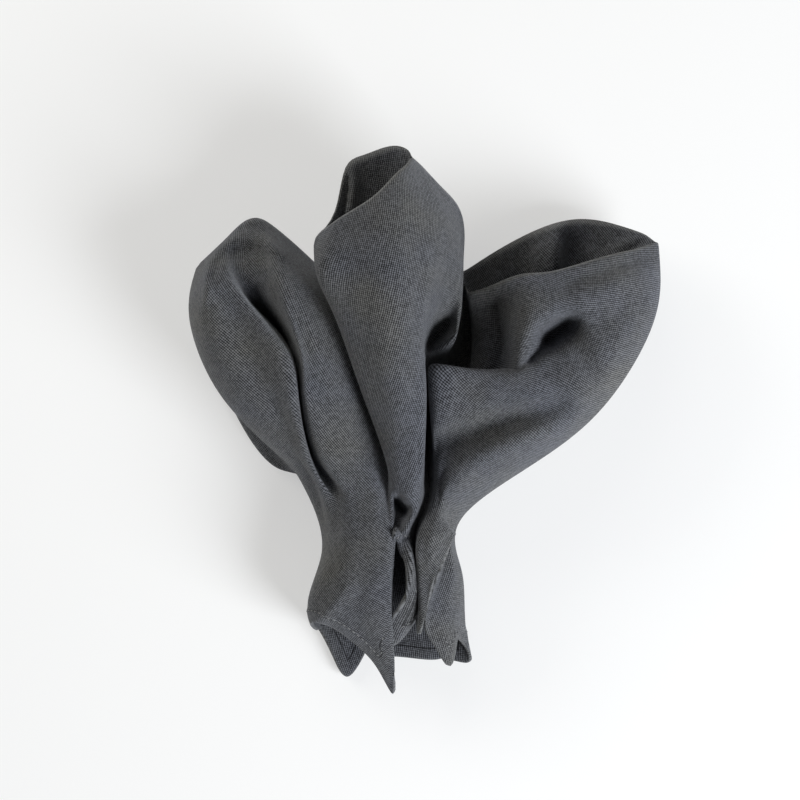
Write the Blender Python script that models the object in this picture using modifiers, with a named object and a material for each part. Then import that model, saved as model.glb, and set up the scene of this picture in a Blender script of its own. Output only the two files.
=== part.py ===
"""A hemmed square hand towel gathered at its middle, lying on its back.

Three loops of cloth stand above the gather and the four hemmed corners trail below it.
The sheet is a ring of lines ("ribs") that run from the hem over the gather and up to the crown of
the loops, where the cloth turns over and goes down into the mouth of each loop.
"""

from collections import namedtuple

import bmesh
import bpy
import numpy as np
from mathutils import Matrix, Vector

# Plan positions in the tables are in drawing units, x to the right and y downwards; heights are in mm.
UNIT = 0.47
MM = 0.001

THICKNESS = 1.0
HEM_THICKNESS = 1.8
HEM_WIDTH = 7.0

# The ring is divided into 44 turns: 0 is the left keel, 22 the right keel, 22 to 44 the back.
RING = 44.0
COLUMNS_PER_TURN = 6
ROWS_PER_SPAN = 7
MOUTH_ROWS = 10
SHEET_FACES = 5300
SOFTEN_ROUNDS = 3
# How far the back is drawn below the surface that it lies on, before it is pressed flat against it.
SINK = 1.0
# A crease fades in over this many turns, and on a mouth's wall over this share of its depth.
CREASE_RUN_IN = 0.5
MOUTH_RUN_IN = 0.25

Loop = namedtuple("Loop", "turn fold waist foot low mid high crown")
LOOPS = (
    Loop(0.0, "left keel",
         (303, 484, 28), (276, 457, 30), (229, 402, 32), (195, 338, 34), (189, 296, 34), (196, 264, 29)),
    Loop(1.0, "outer fold crest",
         (312, 486, 38), (287, 452, 44), (248, 395, 54), (217, 335, 58), (204, 291, 54), (208, 252, 37)),
    Loop(2.0, "outer fold right",
         (322, 488, 43), (302, 453, 48), (281, 395, 60), (256, 330, 61), (226, 276, 57), (224, 237, 38)),
    Loop(2.6, "outer fold edge",
         (329, 489, 44), (311, 455, 47), (300, 397, 57), (287, 344, 58), (238, 280, 54), (238, 223, 34)),
    Loop(3.1, "left groove",
         (334, 490, 43), (312, 457, 28), (293, 394, 20), (277, 328, 16), (253, 279, 49), (249, 217, 33)),
    Loop(3.6, "inner fold left",
         (341, 490, 46), (317, 456, 44), (301, 398, 47), (296, 345, 52), (263, 272, 54), (259, 216, 33)),
    Loop(4.4, "inner fold crest",
         (356, 490, 49), (334, 450, 53), (313, 395, 62), (304, 345, 65), (281, 275, 59), (273, 223, 33)),
    Loop(5.2, "inner fold right",
         (376, 490, 50), (366, 444, 48), (351, 395, 55), (334, 342, 58), (314, 290, 52), (296, 243, 31)),
    Loop(6.0, "left valley",
         (387, 490, 44), (388, 444, 38), (380, 395, 38), (366, 344, 40), (342, 298, 40), (321, 264, 30)),
    Loop(6.6, "centre left underside",
         (391, 490, 47), (384, 442, 49), (365, 386, 60), (342, 321, 62), (324, 283, 60), (317, 246, 51)),
    Loop(7.0, "centre left edge",
         (393, 490, 50), (380, 438, 54), (359, 380, 66), (336, 315, 70), (319, 277, 69), (314, 239, 61)),
    Loop(7.5, "centre rim",
         (396, 490, 52), (383, 437, 58), (362, 376, 72), (340, 310, 77), (325, 268, 75), (326, 230, 65)),
    Loop(8.0, "centre left third",
         (399, 490, 53), (391, 438, 58), (373, 375, 72), (356, 310, 78), (343, 260, 76), (341, 219, 68)),
    Loop(9.0, "centre middle",
         (406, 490, 55), (403, 440, 60), (392, 375, 75), (385, 305, 83), (378, 243, 80), (374, 198, 71)),
    Loop(10.0, "centre right",
         (413, 490, 55), (414, 442, 60), (410, 375, 73), (409, 305, 80), (407, 235, 76), (398, 173, 63)),
    Loop(11.0, "centre crease",
         (418, 490, 52), (423, 445, 58), (424, 385, 66), (422, 325, 71), (432, 240, 67), (414, 158, 48)),
    Loop(12.0, "flank",
         (421, 491, 45), (424, 430, 42), (425, 361, 44), (433, 330, 46), (450, 255, 56), (438, 182, 45)),
    Loop(13.0, "flank lip",
         (423, 491, 38), (425, 425, 29), (438, 362, 30), (454, 335, 42), (462, 275, 44), (459, 206, 40)),
    Loop(14.0, "flank underside",
         (426, 492, 33), (427, 420, 20), (446, 366, 19), (455, 335, 25), (460, 297, 34), (464, 240, 36)),
    Loop(15.0, "right valley",
         (430, 493, 33), (431, 415, 20), (458, 378, 17), (468, 350, 12), (466, 318, 19), (462, 278, 29)),
    Loop(15.6, "under flap",
         (432, 494, 38), (432, 420, 34), (440, 374, 34), (464, 385, 20), (474, 342, 15), (467, 286, 31)),
    Loop(16.2, "flap edge",
         (434, 494, 44), (433, 430, 50), (430, 364, 58), (456, 386, 35), (474, 345, 25), (468, 290, 39)),
    Loop(17.0, "flap middle",
         (439, 495, 46), (448, 436, 54), (464, 368, 60), (474, 386, 37), (494, 345, 35), (487, 285, 45)),
    Loop(18.0, "flap tip",
         (444, 497, 46), (467, 444, 54), (505, 373, 59), (506, 372, 43), (508, 342, 44), (515, 274, 54)),
    Loop(18.4, "ridge side",
         (446, 498, 45), (475, 446, 54), (514, 377, 60), (514, 368, 56), (517, 333, 57), (526, 272, 55)),
    Loop(19.0, "ridge",
         (449, 501, 43), (487, 449, 54), (532, 387, 60), (533, 350, 56), (541, 315, 60), (545, 271, 54)),
    Loop(20.0, "right middle",
         (452, 506, 39), (507, 454, 51), (560, 392, 60), (572, 345, 55), (582, 300, 59), (584, 261, 51)),
    Loop(21.0, "right body",
         (456, 512, 32), (520, 461, 42), (586, 398, 51), (614, 345, 54), (628, 292, 52), (626, 250, 42)),
    Loop(22.0, "right keel",
         (460, 520, 20), (520, 471, 26), (588, 421, 28), (634, 362, 30), (659, 300, 30), (660, 244, 27)),
    Loop(23.5, "right back outer",
         (450, 520, 8), (510, 466, 6), (570, 412, 4), (608, 350, 5), (630, 290, 10), (622, 224, 16)),
    Loop(25.0, "right back",
         (440, 515, 4), (480, 450, 1), (524, 390, 0), (548, 330, 1), (562, 275, 7), (562, 221, 16)),
    Loop(26.7, "right back inner",
         (430, 510, 3), (452, 440, 0), (476, 390, 0), (486, 340, 2), (492, 295, 8), (492, 250, 19)),
    Loop(28.5, "right valley back",
         (420, 508, 2), (430, 440, 0), (440, 385, 0), (450, 348, 0), (458, 322, 0), (461, 277, 26)),
    Loop(30.0, "centre back underside",
         (412, 507, 2), (421, 440, 0), (431, 377, 0), (443, 330, 1), (456, 287, 9), (464, 240, 35)),
    Loop(31.0, "centre back right",
         (405, 506, 2), (412, 440, 0), (420, 370, 0), (435, 310, 4), (452, 255, 16), (459, 206, 36)),
    Loop(32.0, "centre back shoulder",
         (400, 505, 2), (406, 440, 0), (412, 366, 0), (424, 300, 4), (434, 238, 17), (438, 182, 41)),
    Loop(33.0, "centre back tip",
         (395, 504, 2), (400, 440, 0), (406, 363, 0), (412, 295, 4), (416, 224, 18), (414, 158, 44)),
    Loop(34.0, "centre back",
         (390, 504, 2), (395, 440, 0), (400, 360, 0), (400, 290, 4), (398, 215, 18), (397, 143, 41)),
    Loop(35.2, "centre back slope",
         (380, 502, 2), (380, 440, 0), (380, 365, 0), (376, 290, 4), (368, 215, 20), (362, 153, 42)),
    Loop(35.8, "centre back corner",
         (375, 501, 2), (374, 440, 0), (371, 367, 0), (364, 295, 4), (354, 222, 22), (347, 166, 43)),
    Loop(36.4, "centre back edge",
         (370, 500, 2), (366, 440, 0), (360, 372, 0), (350, 303, 4), (341, 240, 27), (337, 214, 45)),
    Loop(37.0, "centre back left",
         (364, 499, 2), (360, 442, 0), (352, 380, 0), (346, 318, 3), (341, 264, 24), (318, 241, 55)),
    Loop(38.0, "left valley back",
         (355, 496, 2), (350, 445, 0), (342, 390, 0), (334, 340, 1), (330, 300, 6), (321, 264, 28)),
    Loop(39.7, "left back inner",
         (335, 492, 3), (320, 450, 0), (300, 390, 0), (284, 330, 2), (278, 275, 8), (272, 223, 22)),
    Loop(42.0, "left back outer",
         (318, 488, 5), (288, 460, 3), (256, 404, 2), (230, 335, 2), (214, 285, 8), (224, 237, 22)),
    Loop(43.0, "rear layer edge",
         (308, 484, 12), (265, 466, 8), (233, 412, 10), (206, 350, 14), (191, 300, 20), (196, 264, 25)),
    Loop(43.5, "rear layer fold",
         (304, 484, 20), (286, 463, 14), (246, 406, 18), (207, 345, 24), (191, 297, 28), (196, 264, 27)),
)

Tail = namedtuple("Tail", "turn fold upper lower hem")
TAILS = (
    Tail(0.0, "left keel", (322, 540, 22), (312, 598, 17), (316, 632, 12)),
    Tail(2.2, "front panel left edge", (331, 537, 36), (313, 592, 33), (313, 622, 27)),
    Tail(3.6, "front panel crease", (347, 537, 46), (336, 595, 42), (334, 627, 32)),
    Tail(4.8, "front panel", (366, 540, 50), (362, 605, 43), (364, 651, 29)),
    Tail(5.5, "front corner side", (377, 541, 51), (375, 613, 43), (382, 675, 25)),
    Tail(6.0, "front corner", (386, 542, 51), (387, 620, 41), (394, 696, 22)),
    Tail(6.6, "front panel right edge", (391, 541, 49), (391, 598, 43), (392, 646, 34)),
    Tail(7.3, "eye left", (393, 522, 45), (393, 535, 47), (393, 548, 46)),
    Tail(8.2, "eye top", (400, 522, 44), (400, 535, 47), (400, 548, 46)),
    Tail(9.0, "eye shoulder", (406, 530, 46), (407, 543, 47), (408, 558, 46)),
    Tail(9.6, "curled hem top", (408, 533, 45), (410, 553, 47), (409, 575, 47)),
    Tail(10.2, "curled hem", (409, 536, 44), (411, 566, 45), (404, 598, 44)),
    Tail(10.8, "curled hem inner corner", (410, 538, 42), (412, 576, 40), (387, 616, 32)),
    Tail(11.4, "curled hem outer corner", (411, 540, 40), (413, 582, 36), (387, 644, 27)),
    Tail(12.1, "curled hem outside", (412, 540, 37), (414, 588, 33), (404, 629, 28)),
    Tail(12.8, "curled hem back", (413, 537, 35), (415, 590, 31), (411, 622, 28)),
    Tail(13.6, "right layer fold", (415, 535, 35), (416, 590, 31), (415, 619, 29)),
    Tail(14.6, "right layer side", (417, 535, 43), (418, 590, 39), (417, 623, 36)),
    Tail(15.8, "right layer left edge", (419, 535, 51), (419, 590, 48), (420, 628, 43)),
    Tail(16.5, "right layer corner side", (424, 533, 52), (425, 573, 50), (427, 600, 46)),
    Tail(17.4, "right layer free edge", (433, 530, 53), (435, 552, 51), (436, 571, 49)),
    Tail(18.8, "right notch", (448, 524, 44), (450, 531, 43), (453, 537, 42)),
    Tail(20.0, "inner panel left", (446, 545, 34), (436, 590, 32), (424, 624, 32)),
    Tail(20.5, "inner corner side", (449, 552, 33), (441, 600, 31), (435, 647, 28)),
    Tail(21.0, "inner corner", (453, 560, 32), (450, 612, 28), (450, 668, 24)),
    Tail(21.5, "inner panel right", (457, 563, 27), (459, 605, 24), (456, 645, 19)),
    Tail(22.0, "right keel", (460, 565, 22), (463, 598, 20), (459, 641, 15)),
    Tail(22.8, "rear corner side", (459, 565, 15), (465, 608, 12), (466, 650, 10)),
    Tail(23.5, "rear corner", (457, 565, 10), (463, 620, 8), (472, 665, 7)),
    Tail(24.3, "rear corner hem", (450, 565, 6), (455, 617, 5), (456, 665, 4)),
    Tail(26.0, "rear right", (440, 565, 4), (440, 615, 3), (438, 664, 3)),
    Tail(29.0, "rear middle", (420, 565, 3), (415, 615, 2), (414, 663, 3)),
    Tail(32.0, "rear left", (400, 560, 3), (395, 615, 2), (391, 661, 3)),
    Tail(33.2, "rear left end", (392, 558, 3), (385, 610, 2), (382, 658, 3)),
    Tail(35.0, "rear notch", (380, 555, 3), (372, 600, 2), (373, 640, 4)),
    Tail(36.6, "left corner side", (367, 552, 3), (359, 606, 2), (364, 658, 3)),
    Tail(38.0, "left corner", (355, 550, 4), (348, 612, 3), (346, 682, 3)),
    Tail(39.4, "left corner hem", (344, 548, 6), (334, 607, 4), (331, 660, 4)),
    Tail(41.0, "left corner edge", (333, 545, 8), (320, 600, 6), (320, 636, 6)),
)

# Soft ridges (height above 0) and troughs (below 0) across the front, each over a range of turns.
Crease = namedtuple("Crease", "name first last path width height")
CREASES = (
    Crease("left rim", 0.4, 6.0,
           ((209, 300), (210, 262), (218, 246), (234, 238), (250, 237), (266, 241), (284, 254)), 5, 4.5),
    Crease("left brow", 0.4, 6.0, ((222, 262), (248, 256), (272, 270)), 9, -3.0),
    Crease("outer fold dart", 0.5, 2.6, ((276, 398), (298, 432)), 5, -2.5),
    Crease("inner fold dart", 3.8, 5.6, ((318, 300), (338, 352), (362, 420)), 7, -2.0),
    Crease("lip upper", 11.6, 14.2, ((463, 304), (456, 334)), 4, 5.0),
    Crease("lip lower", 11.2, 14.0, ((454, 338), (425, 357)), 4, 9.0),
    Crease("flank hollow", 11.1, 13.6, ((424, 340), (446, 322)), 8, -12.0),
    Crease("lower panel trough", 16.0, 21.5,
           ((436, 440), (470, 431), (500, 420), (530, 411), (556, 403)), 10, -5.5),
    Crease("keel ridge", 17.0, 22.0,
           ((450, 484), (472, 460), (500, 446), (530, 435), (562, 424)), 9, 3.5),
    Crease("dimple", 18.2, 21.0, ((546, 337), (563, 321)), 8, -21.0),
    Crease("dimple foot", 17.8, 20.5, ((527, 360), (547, 338)), 5, -8.0),
    Crease("body trough", 19.5, 21.9, ((576, 340), (592, 372)), 8, -4.0),
    Crease("body hollow", 19.8, 21.9, ((604, 318), (628, 300)), 12, -4.0),
    Crease("crown trough", 18.5, 21.9, ((566, 284), (640, 258)), 6, -2.5),
    Crease("curl hollow", 6.6, 12.5, ((396, 500), (404, 508)), 4.5, -16.0),
    Crease("curl", 7.0, 15.0, ((425, 488), (416, 511), (404, 528), (395, 531)), 3, 5.0),
    Crease("front panel bend", 1.0, 8.0, ((318, 622), (348, 586)), 5, 2.0),
)

# The same on the back walls of the mouths, by the turn of the front rim across from them.
MOUTH_CREASES = (
    Crease("centre slit", 7.1, 9.0, ((350, 164), (347, 174), (349, 192), (343, 216)), 2, -5.0),
    Crease("centre inner fold", 7.1, 9.6, ((355, 166), (354, 192), (349, 214)), 3, 3.0),
    Crease("right inner fold", 16.5, 21.0, ((552, 228), (549, 272)), 9, 9.0),
    Crease("right inner hollow", 17.5, 21.8, ((582, 228), (580, 270)), 11, -3.0),
    Crease("right inner crease", 19.5, 21.9, ((642, 233), (616, 248)), 3, 3.0),
)

# Pleats at the gather: how deep they are, by turn round the ring.
Pleat = namedtuple("Pleat", "turn depth")
PLEATS = (
    Pleat(0.0, 2.0),
    Pleat(4.0, 2.5),
    Pleat(6.0, 0.0),
    Pleat(24.5, 0.0),
    Pleat(27.0, 9.0),
    Pleat(38.5, 9.0),
    Pleat(40.5, 2.0),
    Pleat(44.0, 2.0),
)
PLEAT_COUNT = 22
PLEAT_STATION = 3.1
PLEAT_REACH = 0.75

# How far each mouth is open (0 shut, 1 open) and where its floor lies, by turn along the front.
Mouth = namedtuple("Mouth", "turn open floor")
MOUTHS = (
    Mouth(0.0, 0.0, (200, 268, 26)),
    Mouth(6.0, 0.0, (321, 266, 28)),
    Mouth(7.0, 0.0, (318, 242, 54)),
    Mouth(7.6, 0.8, (338, 256, 44)),
    Mouth(8.3, 1.0, (358, 276, 38)),
    Mouth(9.0, 1.0, (378, 272, 35)),
    Mouth(10.0, 0.9, (403, 230, 38)),
    Mouth(11.0, 0.0, (414, 162, 45)),
    Mouth(12.0, 0.0, (438, 186, 43)),
    Mouth(14.0, 0.0, (464, 245, 34)),
    Mouth(15.6, 0.0, (468, 290, 32)),
    Mouth(16.4, 0.9, (486, 320, 20)),
    Mouth(17.2, 1.0, (504, 338, 18)),
    Mouth(18.5, 1.0, (534, 345, 13)),
    Mouth(20.0, 1.0, (588, 310, 15)),
    Mouth(21.2, 0.8, (630, 265, 24)),
    Mouth(22.0, 0.0, (658, 248, 26)),
)
OPEN_LEAST = 0.04


def spline_weights(knots, places):
    """Weights that turn values at the knots into a natural cubic spline at the places."""
    count = len(knots)
    gaps = np.diff(knots)
    left = np.zeros((count, count))
    right = np.zeros((count, count))
    left[0, 0] = 1.0
    left[-1, -1] = 1.0
    for k in range(1, count - 1):
        left[k, k - 1:k + 2] = gaps[k - 1], 2.0 * (gaps[k - 1] + gaps[k]), gaps[k]
        right[k, k - 1:k + 2] = 6.0 / gaps[k - 1], -6.0 / gaps[k - 1] - 6.0 / gaps[k], 6.0 / gaps[k]
    bends = np.linalg.solve(left, right)
    return piecewise(knots, bends, places)


def piecewise(knots, bends, places):
    spans = np.clip(np.searchsorted(knots, places, side="right") - 1, 0, len(knots) - 2)
    gap = (knots[spans + 1] - knots[spans])[:, None]
    after = (places - knots[spans])[:, None] / gap
    before = 1.0 - after
    unit = np.eye(len(knots))
    ends = before * unit[spans] + after * unit[spans + 1]
    bend = (before ** 3 - before) * bends[spans] + (after ** 3 - after) * bends[spans + 1]
    return ends + bend * gap ** 2 / 6.0


def ring_weights(knots, places):
    """The same for a closed ring: the rows are repeated on both sides of it."""
    knots = np.asarray(knots, float)
    count = len(knots)
    wide = np.concatenate([knots - RING, knots, knots + RING])
    weights = spline_weights(wide, places)
    return weights[:, :count] + weights[:, count:2 * count] + weights[:, 2 * count:]


def smooth_step(value):
    value = np.clip(value, 0.0, 1.0)
    return value * value * (3.0 - 2.0 * value)


def ring_curves(rows, stations, turns):
    weights = ring_weights([row.turn for row in rows], turns)
    return [weights @ np.array([getattr(row, name) for row in rows], float) for name in stations]


def distance_to_path(places, path):
    corners = np.array(path, float)
    nearest = np.full(places.shape[:-1], np.inf)
    for start, end in zip(corners[:-1], corners[1:]):
        line = end - start
        offset = places - start
        share = np.clip((offset @ line) / (line @ line), 0.0, 1.0)
        away = np.linalg.norm(offset - share[..., None] * line, axis=-1)
        nearest = np.minimum(nearest, away)
    return nearest


def crease_heights(points, turns, creases):
    total = np.zeros(points.shape[:2])
    for crease in creases:
        away = distance_to_path(points[..., :2], crease.path)
        entry = smooth_step((turns - crease.first) / CREASE_RUN_IN)
        leave = smooth_step((crease.last - turns) / CREASE_RUN_IN)
        total += crease.height * np.exp(-0.5 * (away / crease.width) ** 2) * entry * leave
    return total


def outward(points):
    """Unit normals of the ring, pointing out of the bundle."""
    real = to_metres(points)
    round_it = np.roll(real, -1, axis=1) - np.roll(real, 1, axis=1)
    along = np.gradient(real, axis=0)
    normals = np.cross(round_it, along)
    return normals / np.maximum(np.linalg.norm(normals, axis=-1, keepdims=True), 1e-12)


def pleat_shifts(points, turns, steps):
    depth = np.interp(turns, [row.turn for row in PLEATS], [row.depth for row in PLEATS])
    wave = 0.5 - 0.5 * np.cos(2.0 * np.pi * PLEAT_COUNT * turns / RING)
    reach = np.exp(-(((steps - PLEAT_STATION) / PLEAT_REACH) ** 2))
    inwards = -outward(points) * (reach[:, None] * (depth * wave)[None, :])[..., None]
    return inwards / np.array((UNIT, -UNIT, 1.0))


def sheet_grid():
    """Points of the sheet's middle surface in mm: one array for the outside, one for the mouths."""
    columns = int(RING) * COLUMNS_PER_TURN
    turns = np.arange(columns) * RING / columns
    tails = ring_curves(TAILS, ("hem", "lower", "upper"), turns)
    loops = ring_curves(LOOPS, ("waist", "foot", "low", "mid", "high", "crown"), turns)
    stations = np.array(tails + loops)
    knots = np.arange(len(stations), dtype=float)

    half = columns // 2
    front = np.arange(half + 1)
    back = (columns - front) % columns
    mouth_turns = np.array([row.turn for row in MOUTHS])
    openness = smooth_step(np.interp(turns[front], mouth_turns, [row.open for row in MOUTHS]))
    floor = spline_weights(mouth_turns, turns[front]) @ np.array([row.floor for row in MOUTHS], float)

    openness[openness < OPEN_LEAST] = 0.0
    middle = 0.5 * (stations[-1][front] + stations[-1][back])
    part = openness[:, None]
    stations[-1][front] = middle + part * (stations[-1][front] - middle)
    stations[-1][back] = middle + part * (stations[-1][back] - middle)

    steps = np.linspace(0.0, len(stations) - 1.0, (len(stations) - 1) * ROWS_PER_SPAN + 1)
    outside = np.einsum("sk,kcx->scx", spline_weights(knots, steps), stations)
    outside[..., 2] += crease_heights(outside, turns, CREASES)
    outside += pleat_shifts(outside, turns, steps)
    outside[..., 2] = np.maximum(outside[..., 2], -SINK)

    along = np.linspace(0.0, 1.0, MOUTH_ROWS + 1)[1:, None, None]
    floor = middle + part * (floor - middle)
    mouths = []
    for side in (front, back):
        crown = outside[-1][side]
        mouths.append(crown + (floor - crown) * along)
    deep = along[..., 0]
    fade = smooth_step(deep / MOUTH_RUN_IN) * smooth_step((1.0 - deep) / MOUTH_RUN_IN) * openness
    mouths[1][..., 2] += crease_heights(mouths[1], turns[front], MOUTH_CREASES) * fade
    return outside, mouths, front, back


def to_metres(points):
    return points * np.array((UNIT, -UNIT, 1.0)) * MM


def build_sheet(collection, material):
    outside, mouths, front, back = sheet_grid()
    rows, columns = outside.shape[:2]
    half = len(front)
    mesh = bmesh.new()
    weights = mesh.verts.layers.deform.verify()

    def add(points):
        return [[mesh.verts.new(Vector(p)) for p in line] for line in to_metres(points)]

    grid = add(outside)
    for r in range(rows - 1):
        for c in range(columns):
            d = (c + 1) % columns
            mesh.faces.new((grid[r][c], grid[r][d], grid[r + 1][d], grid[r + 1][c]))
    sides = []
    for side, points in zip((front, back), mouths):
        sides.append([[grid[-1][c] for c in side]] + add(points))
    for r in range(MOUTH_ROWS):
        for c in range(half - 1):
            a, b = sides[0][r], sides[0][r + 1]
            mesh.faces.new((a[c], a[c + 1], b[c + 1], b[c]))
            a, b = sides[1][r], sides[1][r + 1]
            mesh.faces.new((a[c + 1], a[c], b[c], b[c + 1]))
    for r in range(rows):
        for c in range(columns):
            drop = (grid[r][c].co - grid[0][c].co).length
            if drop < HEM_WIDTH * MM:
                grid[r][c][weights][0] = 1.0
    bmesh.ops.remove_doubles(mesh, verts=mesh.verts, dist=0.00002)
    bmesh.ops.dissolve_degenerate(mesh, edges=mesh.edges, dist=0.00001)
    bmesh.ops.recalc_face_normals(mesh, faces=mesh.faces)
    data = bpy.data.meshes.new("towel")
    mesh.to_mesh(data)
    mesh.free()
    data.materials.append(material)
    towel = bpy.data.objects.new("towel", data)
    towel.vertex_groups.new(name="hem")
    collection.objects.link(towel)
    return towel


def linen():
    material = bpy.data.materials.new("linen")
    material.use_nodes = True
    shader = material.node_tree.nodes["Principled BSDF"]
    shader.inputs["Base Color"].default_value = (0.065, 0.066, 0.072, 1.0)
    shader.inputs["Roughness"].default_value = 0.9
    shader.inputs["Metallic"].default_value = 0.0
    return material


def evaluated_mesh(thing):
    graph = bpy.context.evaluated_depsgraph_get()
    return bpy.data.meshes.new_from_object(
        thing.evaluated_get(graph), preserve_all_data_layers=True, depsgraph=graph
    )


def bake_modifiers(thing):
    baked = evaluated_mesh(thing)
    thing.modifiers.clear()
    thing.data = baked


def press_flat(thing):
    """Lift what is drawn below the surface, so that the sheet's underside lies flat on it."""
    for vertex in thing.data.vertices:
        in_hem = any(entry.weight > 0.5 for entry in vertex.groups)
        least = 0.5 * (HEM_THICKNESS if in_hem else THICKNESS) * MM
        vertex.co.z = max(vertex.co.z, least)


def centre_on_origin(thing):
    """Move the mesh so that its box is centred over the origin."""
    solid = evaluated_mesh(thing)
    corners = np.array([vertex.co for vertex in solid.vertices])
    bpy.data.meshes.remove(solid)
    middle = 0.5 * (corners.min(axis=0) + corners.max(axis=0))
    thing.data.transform(Matrix.Translation((-middle[0], -middle[1], 0.0)))


def main():
    for thing in list(bpy.data.objects):
        bpy.data.objects.remove(thing)
    collection = bpy.data.collections.new("gathered_hand_towel")
    bpy.context.scene.collection.children.link(collection)
    towel = build_sheet(collection, linen())

    soften = towel.modifiers.new("soften", "SMOOTH")
    soften.factor = 0.5
    soften.iterations = SOFTEN_ROUNDS
    facets = towel.modifiers.new("facets", "DECIMATE")
    facets.decimate_type = "COLLAPSE"
    facets.ratio = SHEET_FACES / (2.0 * len(towel.data.polygons))
    bake_modifiers(towel)
    press_flat(towel)

    thicken = towel.modifiers.new("thickness", "SOLIDIFY")
    thicken.thickness = HEM_THICKNESS * MM
    thicken.offset = 0.0
    thicken.vertex_group = "hem"
    thicken.thickness_vertex_group = THICKNESS / HEM_THICKNESS
    centre_on_origin(towel)


main()
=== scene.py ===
"""The look of a square hand towel gathered at its middle, lying on its back on a pale floor."""

import itertools
import math
from collections import namedtuple

import bmesh
import bpy
import numpy as np
from mathutils import Matrix, Vector
from mathutils.bvhtree import BVHTree


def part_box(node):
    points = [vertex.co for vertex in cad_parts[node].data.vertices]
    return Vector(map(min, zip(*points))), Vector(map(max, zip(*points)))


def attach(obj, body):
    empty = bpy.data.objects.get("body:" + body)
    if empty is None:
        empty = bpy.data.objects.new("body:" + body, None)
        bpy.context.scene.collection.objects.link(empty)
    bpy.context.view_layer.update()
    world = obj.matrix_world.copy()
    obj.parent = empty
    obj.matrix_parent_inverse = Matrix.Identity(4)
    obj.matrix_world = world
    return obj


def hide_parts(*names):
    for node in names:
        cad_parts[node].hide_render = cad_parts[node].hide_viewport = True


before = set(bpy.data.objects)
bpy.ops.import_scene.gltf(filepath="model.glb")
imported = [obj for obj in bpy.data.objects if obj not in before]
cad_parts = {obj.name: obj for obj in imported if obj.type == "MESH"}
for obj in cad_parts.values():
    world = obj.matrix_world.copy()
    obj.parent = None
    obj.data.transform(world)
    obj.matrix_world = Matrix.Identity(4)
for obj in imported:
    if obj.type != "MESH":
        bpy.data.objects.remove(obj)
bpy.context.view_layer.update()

NODE = "towel"
BODY = "root"

# Plan positions in the tables are in drawing units of 0.47 mm, x to the right and y downwards. Heights and
# other lengths are in mm, if nothing else is said. The flat sheet's size is in metres.
UNIT = 0.47
MM = 0.001

THICKNESS = 0.8
HEM_THICKNESS = 1.7
HEM_WIDTH = 7.0

# The ring is divided into 44 turns: 0 is the left keel, 22 the right keel, 22 to 44 the back.
RING = 44.0
COLUMNS_PER_TURN = 8
# Rows of the sheet between two stations of the tables, and rows down the wall of a mouth.
ROWS_PER_SPAN = 14
MOUTH_ROWS = 14
SOFTEN_ROUNDS = 2
SOFTEN_SHARE = 0.5
# How far below the floor the drawn surface may go, before it is pressed flat.
SINK = 1.0
# Closer points are joined and shorter edges removed, in metres.
WELD_GAP = 0.00002
SLIVER = 0.00001
TINY = 1e-12

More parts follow.
